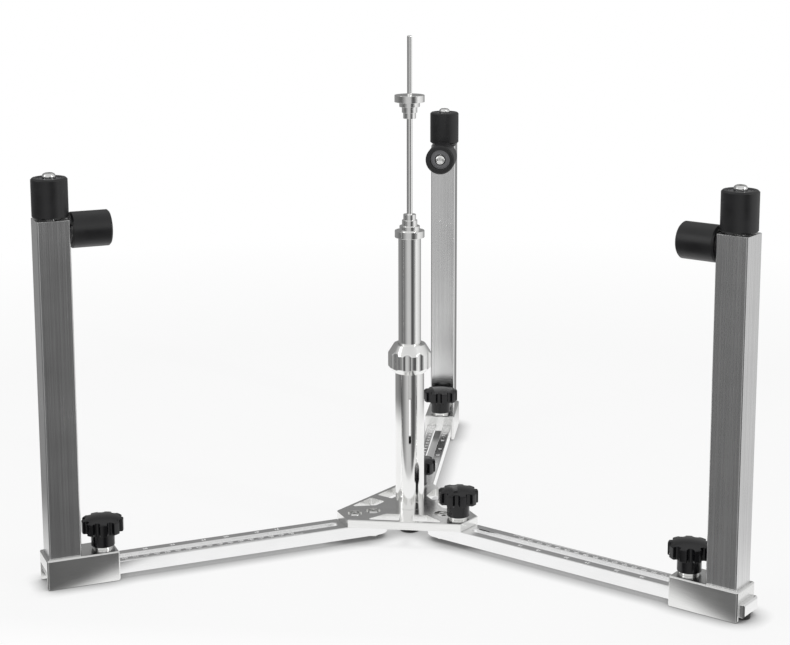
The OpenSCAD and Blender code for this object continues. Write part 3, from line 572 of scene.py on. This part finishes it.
def makeScales(s):
    tree = tickTree()
    values = {name: s[name.lower()] * mm for name in
              ("Start", "Step", "Edge", "Short", "Middle", "Long", "Width", "Height", "Top")}
    values.update({"Count": s["count"], "Finish": markPaint})
    ticks = grown(tree, bpy.data.meshes.new("blank"), values)
    flat = [ticks]
    for n in range(s["figureStep"], s["count"], s["figureStep"]):
        flat.append(figure(str(int(s["start"] + n)), s["figureSize"], s["start"] + n, s["figureY"], s))
    for x, text in s["sizeMarks"]:
        flat.append(figure(text, s["sizeFigure"], x, s["sizeY"], s))
    marks = joined(flat)
    for side, angle in armAngles.items():
        mesh = moved(marks, toward(angle))
        addPiece(side + "ArmScale", mesh, armBodies[side], markPaint, "arm_aluminium")


makeScales(scaleSettings)
print("scales made")

# screws with round heads and hexagonal sockets

buttonSettings = {"wall": 0.30, "flat": 0.50, "steps": 8, "ease": 0.25, "rim": 0.45, "lead": 0.05, "leadDepth": 0.32,
                  "floor": 1.4, "dip": 0.5, "sides": 72}
screwSettings = {"headD": 10.5, "headH": 3.3, "shankD": 6.0, "headZ": 22.0, "tip": 1.0, "shortTip": 9.0,
                 "pivotR": 38.509, "outerR": 57.509, "socket": 4.56}


def buttonScrew(s, shank, headZ):  # shank is a half outline that ends under the head
    b = buttonSettings
    r, h, rim = s["headD"] / 2, s["headH"], s["socket"] / 2
    crown = [(r, headZ), (r, headZ + h * b["wall"])]
    for k in range(1, b["steps"] + 1):
        a = math.radians(90 * k / b["steps"])
        crown.append((r * (b["flat"] + (1 - b["flat"]) * math.cos(a)),
                      headZ + h * (b["wall"] + (1 - b["wall"]) * math.sin(a))))
    crown.append((rim + b["rim"], headZ + h))
    outer = eased(shank + crown, b["ease"])
    floor = headZ + b["floor"]
    inner = [(rim + b["lead"], headZ + h - b["leadDepth"]), (rim, floor), (0.0, floor - b["dip"])]
    return turned(outer + inner, b["sides"], len(outer))


def screwTree():
    tree, add, given = startTree("screwsOnPlate", [("Count", "Int"), ("Radius", "Float"), ("Start", "Float")])
    index = add("GeometryNodeInputIndex").outputs["Index"]
    share = add("ShaderNodeMath", {0: 2 * math.pi, 1: given["Count"]}, operation="DIVIDE")
    angle = add("ShaderNodeMath", {0: index, 1: share.outputs["Value"], 2: given["Start"]}, operation="MULTIPLY_ADD")
    x = add("ShaderNodeMath", {0: angle.outputs["Value"]}, operation="COSINE")
    y = add("ShaderNodeMath", {0: angle.outputs["Value"]}, operation="SINE")
    spoke = add("ShaderNodeCombineXYZ", {"X": x.outputs["Value"], "Y": y.outputs["Value"]})
    reach = add("ShaderNodeVectorMath", {0: spoke.outputs["Vector"], "Scale": given["Radius"]}, operation="SCALE")
    row = add("GeometryNodeMeshLine", {"Count": given["Count"], "Offset": (0.0, 0.0, 0.0)})
    placed = add("GeometryNodeSetPosition", {"Geometry": row.outputs["Mesh"], "Position": reach.outputs["Vector"]})
    spread = add("GeometryNodeInstanceOnPoints", {"Points": placed.outputs["Geometry"],
                                                  "Instance": given["Geometry"]})
    endTree(add, given, spread.outputs["Instances"])
    return tree


def makeArmScrews(s):
    tree = screwTree()
    r = s["shankD"] / 2
    made = []
    for tip, count, radius, start in ((s["tip"], 3, s["pivotR"], 90.0),
                                      (s["shortTip"], 1, s["outerR"], armAngles["left"])):
        screw = buttonScrew(s, [(0.0, tip), (r, tip), (r, s["headZ"], 0)], s["headZ"])
        made.append(grown(tree, screw, {"Count": count, "Radius": radius * mm, "Start": math.radians(start),
                                        "Finish": steelMetal}))
    addPiece("armScrews", softShade(joined(made)), "base", steelMetal, "bright_steel", "arm_screws")


makeArmScrews(screwSettings)
print("arm screws made")

# rollers, their bearings and their axle screws

rollerSettings = {
    "postR": 340.0, "postD": 29.0, "gap": {"edge": 1.5, "rest": 2.0}, "edgeZ": 334.5, "restZ": 322.0,
    "d": 32.0, "l": 35.0, "edge": 1.4, "wall": 5.0, "sink": 0.5, "recess": {"edge": 0.5, "rest": 5.2},
    "mouth": 0.5, "endMouth": 0.4, "ease": 0.25, "core": 13.0, "sides": 128,
    "bearingW": 7.0, "bearingR": 4.05,
    "innerRing": [(0.0, 0.25), (0.25, 0.0), (1.7, 0.0), (1.75, 0.45), (1.95, 0.45), (2.0, 0.2)],
    "outerRing": [(2.0, 0.28), (1.95, 0.55), (1.7, 0.55), (1.65, 0.0), (0.3, 0.0), (0.0, 0.3)],
}
axleSettings = {"headD": 12.0, "headH": 4.5, "socket": 6.08, "d": 8.0, "thread": 6.0,
                "grip": {"edge": 18.0, "rest": 10.15}, "endGap": 0.1}


def rollerSleeve(s, recess):
    r, l, e = s["d"] / 2, s["l"], s["edge"]
    bore, core = r - s["wall"], s["core"] / 2
    low, high = s["bearingW"] + s["sink"], l - s["bearingW"] - recess
    points = [(bore + s["mouth"], 0), (r - e, 0), (r, e), (r, l - e), (r - e, l), (bore + s["endMouth"], l),
              (bore, l - s["endMouth"]), (bore, high), (core, high), (core, low), (bore, low), (bore, s["mouth"])]
    return softShade(turned(eased(points, s["ease"]), s["sides"]))


def bearingRing(s, z):  # outer ring, dished shield and inner ring in one turned shape
    r, b, w = s["d"] / 2 - s["wall"], s["bearingR"], s["bearingW"]
    half = [(b + x, y) for x, y in s["innerRing"]] + [(r - x, y) for x, y in s["outerRing"]]
    points = [(x, z + y) for x, y in half] + [(x, z + w - y) for x, y in reversed(half)]
    return turned(points, s["sides"])


def axleScrew(s, roller, kind):
    headZ = roller["l"] - roller["recess"][kind] + s["endGap"]
    seat = -roller["gap"][kind]
    tip = seat - s["grip"][kind]
    shank = [(0.0, tip), (s["thread"] / 2, tip), (s["thread"] / 2, seat, 0), (s["d"] / 2, seat, 0),
             (s["d"] / 2, headZ, 0)]
    return buttonScrew(s, shank, headZ)


def makeRollers(s, axle):
    places = {"edge": lifted(s["postR"], s["edgeZ"]),
              "rest": lifted(s["postR"] - s["postD"] / 2 - s["gap"]["rest"], s["restZ"])
              @ Matrix.Rotation(math.radians(-90), 4, "Y")}
    screws = {side: [] for side in armAngles}
    for kind, place in places.items():
        recess = s["recess"][kind]
        sleeve = rollerSleeve(s, recess)
        bearings = softShade(joined([bearingRing(s, z) for z in (s["sink"], s["l"] - recess - s["bearingW"])]))
        screw = axleScrew(axle, s, kind)
        for side, angle in armAngles.items():
            body = f"{side}_{kind}_roller"
            here = toward(angle) @ place
            addPiece(f"{side}{kind.title()}Roller", moved(sleeve, here), body, rollerBlack, "roller_plastic", body)
            addPiece(f"{side}{kind.title()}Bearings", moved(bearings, here), body, paintedShadeBearingMetal, "bright_steel",
                     f"{side}_{kind}_bearings")
            screws[side].append(moved(screw, here))
    for side, pair in screws.items():
        addPiece(side + "AxleScrews", softShade(joined(pair)), side + "_slider", steelMetal, "bright_steel",
                 side + "_axles")


makeRollers(rollerSettings, axleSettings)
print("rollers made")

# star knobs and the fluted collet nut share one rule: round hollows pressed into a turned shape

knobSettings = {
    "d": 38.0, "head": 14.0, "stemD": 21.5, "stemL": 13.0, "lobes": 9, "hollowD": 6.5, "hollowDepth": 4.0,
    "dome": 2.5, "domeSteps": 8, "ease": 1.2, "easeSteps": 5, "footEase": 0.6, "neckEase": 0.8, "footR": 3.2,
    "footRise": 0.2, "soften": 0.7, "sharp": 38.0, "sides": 270,
    "collarD": 18.0, "collarT": 2.5, "collarEase": (0.25, 0.4), "studD": 6.0, "studRoot": 18.0, "rootEase": 0.3,
    "tipEase": 0.5, "reach": {"slider": 17.5, "lock": 8.0},
    "place": {"slider": (303.0, 28.0), "lock": (57.509, 25.0)},
    "arms": {"slider": ("left", "right", "back"), "lock": ("right", "back")},
}


def hollowTree():
    tree, add, given = startTree("roundHollows", [("Count", "Int"), ("Centre", "Float"), ("Radius", "Float"),
                                                  ("Soften", "Float")])
    work = mathAdder(add)
    place = add("GeometryNodeInputPosition").outputs["Position"]
    parts = add("ShaderNodeSeparateXYZ", {"Vector": place}).outputs
    r = work("SQRT", work("ADD", work("MULTIPLY", parts["X"], parts["X"]), work("MULTIPLY", parts["Y"], parts["Y"])))
    sector = work("DIVIDE", 2 * math.pi, given["Count"])
    halfSector = work("MULTIPLY", sector, 0.5)
    angle = work("SUBTRACT", work("ARCTAN2", parts["Y"], parts["X"]), halfSector)
    local = work("WRAP", angle, halfSector, work("MULTIPLY", halfSector, -1.0))
    aside = work("MULTIPLY", given["Centre"], work("SINE", local))
    room = work("SUBTRACT", work("MULTIPLY", given["Radius"], given["Radius"]), work("MULTIPLY", aside, aside))
    near = work("SUBTRACT", work("MULTIPLY", given["Centre"], work("COSINE", local)),
                work("SQRT", work("MAXIMUM", room, 0.0)))
    past = work("LESS_THAN", room, 0.0)
    limit = work("ADD", near, past)
    cut = work("SMOOTH_MIN", r, limit, given["Soften"])
    share = work("DIVIDE", cut, work("MAXIMUM", r, tiny))
    spot = add("ShaderNodeCombineXYZ", {"X": work("MULTIPLY", parts["X"], share),
                                        "Y": work("MULTIPLY", parts["Y"], share), "Z": parts["Z"]})
    pressed = add("GeometryNodeSetPosition", {"Geometry": given["Geometry"], "Position": spot.outputs["Vector"]})
    merged = add("GeometryNodeMergeByDistance", {"Geometry": pressed.outputs["Geometry"], "Distance": weldGap})
    endTree(add, given, merged.outputs["Geometry"])
    return tree


def starKnob(s, tree):
    r, stem, e, n = s["d"] / 2, s["stemD"] / 2, s["ease"], s["domeSteps"]
    z0 = s["collarT"]
    z1 = z0 + s["stemL"]
    z2 = z1 + s["head"]
    dome = [((r - e) * (1 - k / n), z2 - s["dome"] * (1 - k / n) ** 2, 0) for k in range(1, n + 1)]
    outline = [(s["footR"], z0), (stem, z0, s["footEase"]), (stem, z1, s["neckEase"]), (r, z1, e),
               (r, z2 - s["dome"], e)]
    closed = [(0.0, z0 + s["footRise"])] + eased(outline + dome, e, s["easeSteps"])
    shaped = grown(tree, turned(closed, s["sides"]), {
        "Count": s["lobes"], "Centre": (r - s["hollowDepth"] + s["hollowD"] / 2) * mm,
        "Radius": s["hollowD"] / 2 * mm, "Soften": s["soften"] * mm, "Finish": knobBlack})
    return softShade(shaped, s["sharp"])


def knobStud(s, reach):
    r, c, t, root = s["studD"] / 2, s["collarD"] / 2, s["collarT"], s["studRoot"]
    under, over = s["collarEase"]
    outline = [(0.0, -reach), (r, -reach, s["tipEase"]), (r, 0.0, 0), (c, 0.0, under), (c, t, over), (r, t, 0),
               (r, root, s["rootEase"]), (0.0, root)]
    return softShade(turned(eased(outline, 0.0)))


def makeKnobs(s, tree):
    knob = starKnob(s, tree)
    for kind, sides in s["arms"].items():
        stud = knobStud(s, s["reach"][kind])
        place = lifted(*s["place"][kind])
        for side in sides:
            body = f"{side}_{kind}_knob"
            here = toward(armAngles[side]) @ place
            addPiece(f"{side}{kind.title()}Knob", moved(knob, here), body, knobBlack, "knob_plastic", body)
            addPiece(f"{side}{kind.title()}Stud", moved(stud, here), body, steelMetal, "bright_steel",
                     f"{side}_{kind}_stud")


hollows = hollowTree()
makeKnobs(knobSettings, hollows)
print("knobs made")

nutSettings = {
    "d": 41.4, "bore": 13.85, "base": 159.5, "top": 187.5, "skirt": 6.0, "skirtSteps": 12, "bevel": 9.0,
    "bevelSteps": 16, "lip": 0.9, "hole": 11.05, "crown": 4.05, "roof": 3.5, "taper": 6.0, "taperR": 11.85,
    "tubeTop": 182.0, "ease": 0.25, "bandEase": 0.5, "crownEase": 0.3,
    "flutes": 10, "fluteD": 16.0, "fluteDepth": 1.5, "soften": 0.18, "sharp": 24.0, "sides": 360,
}


def makeColletNut(s, tree):
    r, bore, hole, top = s["d"] / 2, s["bore"], s["hole"], s["top"]

    def run(a, b, n):
        return [(a[0] + (b[0] - a[0]) * k / n, a[1] + (b[1] - a[1]) * k / n, 0) for k in range(1, n)]

    foot, low = (bore + s["lip"], s["base"]), (r, s["base"] + s["skirt"])
    high, crown = (r, top - s["bevel"]), (hole + s["crown"], top)
    outer = [(bore, s["base"]), foot + (s["ease"],)] + run(foot, low, s["skirtSteps"]) + [low + (s["bandEase"],)]
    outer += [high + (s["bandEase"],)] + run(high, crown, s["bevelSteps"]) + [crown + (s["crownEase"],)]
    inner = [(hole, top, s["crownEase"]), (hole, top - s["roof"], 0), (s["taperR"], top - s["roof"], 0),
             (s["taperR"], s["tubeTop"], 0), (bore, s["tubeTop"] - s["taper"])]
    mesh = turned(eased(outer + inner, s["ease"]), s["sides"])
    shaped = grown(tree, mesh, {"Count": s["flutes"], "Centre": (r + s["fluteD"] / 2 - s["fluteDepth"]) * mm,
                                "Radius": s["fluteD"] / 2 * mm, "Soften": s["soften"] * mm, "Finish": turnedMetal})
    addPiece("colletNut", softShade(shaped, s["sharp"]), "collet_nut", turnedMetal, "polished_aluminium",
             "collet_nut")


makeColletNut(nutSettings, hollows)
print("collet nut made")

# rod, hub seat, axle rod and centring cone

rodSettings = {"d": 21.5, "foot": 134.5, "top": 291.0, "edge": 0.8, "hole": 3.25, "grip": 24.0, "ease": 0.2,
               "sides": 144}
coneSettings = {"steps": [12.0, 14.5, 19.3, 28.2], "heights": [5.5, 5.5, 4.5, 6.5], "lift": 404.0,
                "seatBore": 3.25, "coneBore": 2.75, "mouth": 0.4, "ease": 0.35, "sides": 128}
axleRodSettings = {"foot": 267.0, "root": 3.2, "d": 5.4, "slimD": 4.6, "rootTop": 313.0, "slimFrom": 426.5,
                   "top": 481.5, "edge": 0.8, "ease": 0.2, "stepEase": 0.1, "sides": 64}


def steppedCone(s, bore):
    mouth, z = s["mouth"], 0.0
    outline = [(bore + mouth, z)]
    for d, h in zip(s["steps"], s["heights"]):
        outline += [(d / 2, z), (d / 2, z + h)]
        z += h
    outline.append((bore + mouth, z))
    return turned([(bore, mouth)] + eased(outline, s["ease"]) + [(bore, z - mouth)], s["sides"])


def makeColumn(rod, cone, axle):
    r, e, foot, top, hole = rod["d"] / 2, rod["edge"], rod["foot"], rod["top"], rod["hole"]
    outline = [(0.0, foot), (r - e, foot), (r, foot + e), (r, top - e), (r - e, top), (hole, top, 0),
               (hole, top - rod["grip"], 0), (0.0, top - rod["grip"])]
    addPiece("heightRod", softShade(turned(eased(outline, rod["ease"]), rod["sides"])), "height_rod", columnMetal,
             "polished_aluminium", "height_rod")
    seat = steppedCone(cone, cone["seatBore"])
    seat.transform(lifted(0, top + sum(cone["heights"])) @ Matrix.Rotation(math.pi, 4, "X"))
    addPiece("hubSeat", softShade(seat), "height_rod", turnedMetal, "polished_aluminium", "hub_seat")
    upper = moved(steppedCone(cone, cone["coneBore"]), lifted(0, cone["lift"]))
    addPiece("centringCone", softShade(upper), "centring_cone", turnedMetal, "polished_aluminium", "centring_cone")
    a, slim, e, tip = axle["d"] / 2, axle["slimD"] / 2, axle["edge"], axle["top"]
    outline = [(0.0, axle["foot"]), (axle["root"], axle["foot"]), (axle["root"], axle["rootTop"], 0),
               (a, axle["rootTop"], 0), (a, axle["slimFrom"], axle["stepEase"]), (slim, axle["slimFrom"], 0),
               (slim, tip - e), (slim - e, tip), (0.0, tip)]
    addPiece("axleRod", softShade(turned(eased(outline, axle["ease"]), axle["sides"])), "height_rod", turnedMetal,
             "bright_steel", "axle_rod")


makeColumn(rodSettings, coneSettings, axleRodSettings)
print("column made")

# feet

footSettings = {"d": 14.0, "h": 5.0, "edge": 0.8, "r": {"left": 346.5, "right": 354.5, "back": 354.5},
                "centreD": 19.0, "centreH": 15.0, "headR": 6.55, "headZ": 7.0, "ease": 0.3, "easeSteps": 4,
                "sides": 64}


def makeFeet(s):
    def rubber(outline):
        return softShade(turned(eased(outline, s["ease"], s["easeSteps"]), s["sides"]))

    r, e, h = s["d"] / 2, s["edge"], s["h"]
    foot = rubber([(0.0, 0.0), (r - e, 0.0), (r, e), (r, h), (0.0, h)])
    for side, angle in armAngles.items():
        mesh = moved(foot, toward(angle) @ lifted(s["r"][side], 0))
        addPiece(side + "Foot", mesh, armBodies[side], footRubber, "foot_rubber", side + "_foot")
    c, h = s["centreD"] / 2, s["centreH"]
    centre = rubber([(0.0, 0.0), (c - e, 0.0), (c, e), (c, h), (s["headR"], h, 0), (s["headR"], s["headZ"], 0),
                     (0.0, s["headZ"])])
    addPiece("centreFoot", centre, "base", footRubber, "foot_rubber", "centre_foot")


makeFeet(footSettings)

# what stays as it is in CAD gets its finish here

keptNodes = {"column_plug": turnedMetal, "column_bolt": steelMetal}
for side in armAngles:
    for part in ("tee_nut", "post_screws", "washers"):
        keptNodes[f"{side}_{part}"] = steelMetal
for node, finish in keptNodes.items():
    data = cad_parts[node].data
    data.materials.clear()
    data.materials.append(finish)
print("feet made and inner parts finished")
